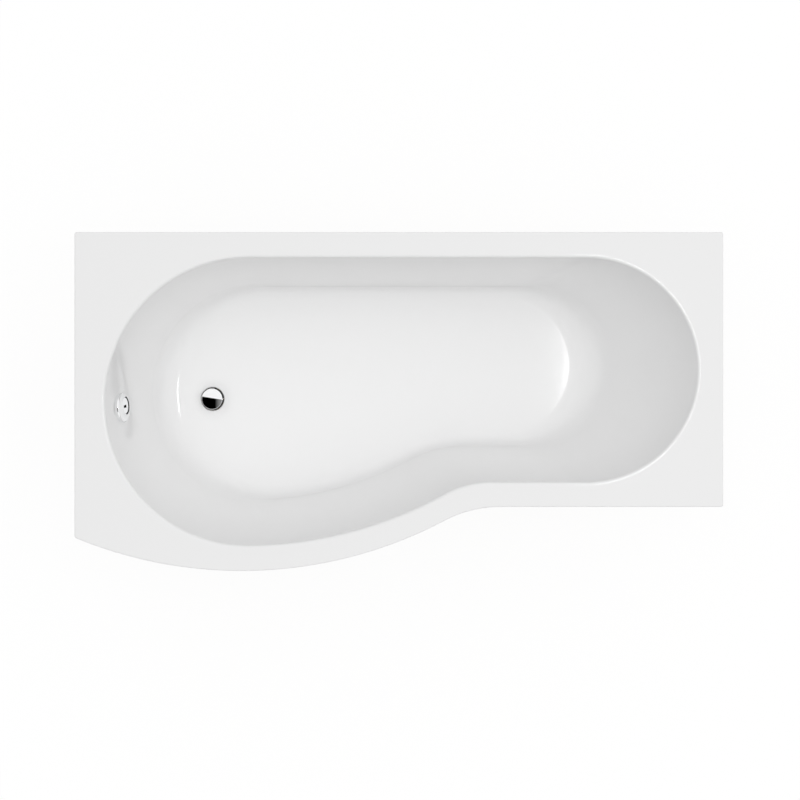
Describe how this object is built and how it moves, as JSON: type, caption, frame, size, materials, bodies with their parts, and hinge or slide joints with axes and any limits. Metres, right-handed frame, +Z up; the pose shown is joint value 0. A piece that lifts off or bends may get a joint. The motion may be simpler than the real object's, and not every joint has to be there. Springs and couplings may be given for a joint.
{
  "type": "b-shaped shower bath",
  "caption": "B-shaped shower bath with a bulged showering end, sloped backrest, steel leg frame, ribbed overflow hose and press plug waste.",
  "frame": {"origin": "under the middle of the rim's outline, on the floor that the feet stand on", "axes": "+X from the waste end to the backrest end, +Y to the wall along the straight back, +Z up"},
  "size_m": [1.7, 0.888, 0.56],
  "materials": {
    "acrylic": "white gloss sanitary acrylic inside, glass fibre reinforced outside",
    "chipboard": "raw chipboard under a thin coat of resin",
    "batten_wood": "planed softwood under a thin coat of resin",
    "galvanised_steel": "galvanised sheet steel with spangle",
    "zinc_plated_steel": "bright zinc plate",
    "foot_plastic": "black moulded plastic",
    "chrome": "polished chrome",
    "seal_rubber": "soft black rubber",
    "waste_plastic": "white moulded polypropylene",
    "hose_plastic": "pale grey ribbed polypropylene hose",
    "nut_plastic": "white moulded plastic nut",
    "brass": "turned brass",
    "spring_steel": "stainless spring wire"
  },
  "bodies": {
    "tub": {"tub_shell": "acrylic", "baseboard": "chipboard", "back_batten": "batten_wood", "front_batten": "batten_wood", "foot_end_batten": "batten_wood", "head_end_batten": "batten_wood", "foot_cradle": "galvanised_steel", "head_cradle": "galvanised_steel", "centre_bracket": "galvanised_steel", "cradle_screws": "zinc_plated_steel", "leg_washers": "zinc_plated_steel", "left_wall_bracket": "galvanised_steel", "right_wall_bracket": "galvanised_steel", "bracket_screws": "zinc_plated_steel", "waste_flange": "chrome", "waste_flange_seal": "seal_rubber", "waste_under_seal": "seal_rubber", "waste_body": "waste_plastic", "plug_cartridge": "brass", "overflow_cover": "chrome", "overflow_plate": "waste_plastic", "overflow_clamp_screw": "zinc_plated_steel", "overflow_seal": "seal_rubber", "overflow_body": "waste_plastic", "overflow_hose": "hose_plastic", "overflow_hose_nut": "nut_plastic", "waste_hose_nut": "nut_plastic"},
    "back_foot_leg": {"back_foot_leg_foot": "foot_plastic", "back_foot_leg_rod": "zinc_plated_steel"},
    "back_foot_leg_nuts": {"back_foot_leg_adjusting_nut": "zinc_plated_steel", "back_foot_leg_lock_nut": "zinc_plated_steel"},
    "front_foot_leg": {"front_foot_leg_foot": "foot_plastic", "front_foot_leg_rod": "zinc_plated_steel"},
    "front_foot_leg_nuts": {"front_foot_leg_adjusting_nut": "zinc_plated_steel", "front_foot_leg_lock_nut": "zinc_plated_steel"},
    "back_head_leg": {"back_head_leg_foot": "foot_plastic", "back_head_leg_rod": "zinc_plated_steel"},
    "back_head_leg_nuts": {"back_head_leg_adjusting_nut": "zinc_plated_steel", "back_head_leg_lock_nut": "zinc_plated_steel"},
    "front_head_leg": {"front_head_leg_foot": "foot_plastic", "front_head_leg_rod": "zinc_plated_steel"},
    "front_head_leg_nuts": {"front_head_leg_adjusting_nut": "zinc_plated_steel", "front_head_leg_lock_nut": "zinc_plated_steel"},
    "centre_leg": {"centre_leg_foot": "foot_plastic", "centre_leg_rod": "zinc_plated_steel"},
    "centre_leg_nuts": {"centre_leg_adjusting_nut": "zinc_plated_steel", "centre_leg_lock_nut": "zinc_plated_steel"},
    "plug": {"plug_cap": "chrome", "plug_seal": "seal_rubber", "plug_stem": "brass", "plug_spring": "spring_steel"}
  },
  "joints": [
    {"name": "back_foot_leg_nut_turn", "type": "hinge", "parent": "tub", "child": "back_foot_leg_nuts", "pos_m": [-0.36, 0.35538, 0.14], "axis": [0, 0, 1], "range_deg": [0, 8230]},
    {"name": "back_foot_leg_slide", "type": "slide", "parent": "tub", "child": "back_foot_leg", "axis": [0, 0, 1], "range_m": [-0.04, 0]},
    {"name": "front_foot_leg_nut_turn", "type": "hinge", "parent": "tub", "child": "front_foot_leg_nuts", "pos_m": [-0.36, -0.32935, 0.14], "axis": [0, 0, 1], "range_deg": [0, 8230]},
    {"name": "front_foot_leg_slide", "type": "slide", "parent": "tub", "child": "front_foot_leg", "axis": [0, 0, 1], "range_m": [-0.04, 0]},
    {"name": "back_head_leg_nut_turn", "type": "hinge", "parent": "tub", "child": "back_head_leg_nuts", "pos_m": [0.28, 0.35538, 0.14], "axis": [0, 0, 1], "range_deg": [0, 8230]},
    {"name": "back_head_leg_slide", "type": "slide", "parent": "tub", "child": "back_head_leg", "axis": [0, 0, 1], "range_m": [-0.04, 0]},
    {"name": "front_head_leg_nut_turn", "type": "hinge", "parent": "tub", "child": "front_head_leg_nuts", "pos_m": [0.28, -0.18321, 0.14], "axis": [0, 0, 1], "range_deg": [0, 8230]},
    {"name": "front_head_leg_slide", "type": "slide", "parent": "tub", "child": "front_head_leg", "axis": [0, 0, 1], "range_m": [-0.04, 0]},
    {"name": "centre_leg_nut_turn", "type": "hinge", "parent": "tub", "child": "centre_leg_nuts", "pos_m": [-0.04, 0.07, 0.14], "axis": [0, 0, 1], "range_deg": [0, 8230]},
    {"name": "centre_leg_slide", "type": "slide", "parent": "tub", "child": "centre_leg", "axis": [0, 0, 1], "range_m": [-0.04, 0]},
    {"name": "plug_press", "type": "slide", "parent": "tub", "child": "plug", "axis": [0, 0, 1], "range_m": [-0.0085, 0], "stiffness_N_per_m": 600, "springref_m": 0.015, "deforming": ["plug_spring"]}
  ],
  "couplings": [
    {"joint": "back_foot_leg_nut_turn", "follows": "back_foot_leg_slide", "rad_per_m": -3590.4},
    {"joint": "front_foot_leg_nut_turn", "follows": "front_foot_leg_slide", "rad_per_m": -3590.4},
    {"joint": "back_head_leg_nut_turn", "follows": "back_head_leg_slide", "rad_per_m": -3590.4},
    {"joint": "front_head_leg_nut_turn", "follows": "front_head_leg_slide", "rad_per_m": -3590.4},
    {"joint": "centre_leg_nut_turn", "follows": "centre_leg_slide", "rad_per_m": -3590.4}
  ]
}
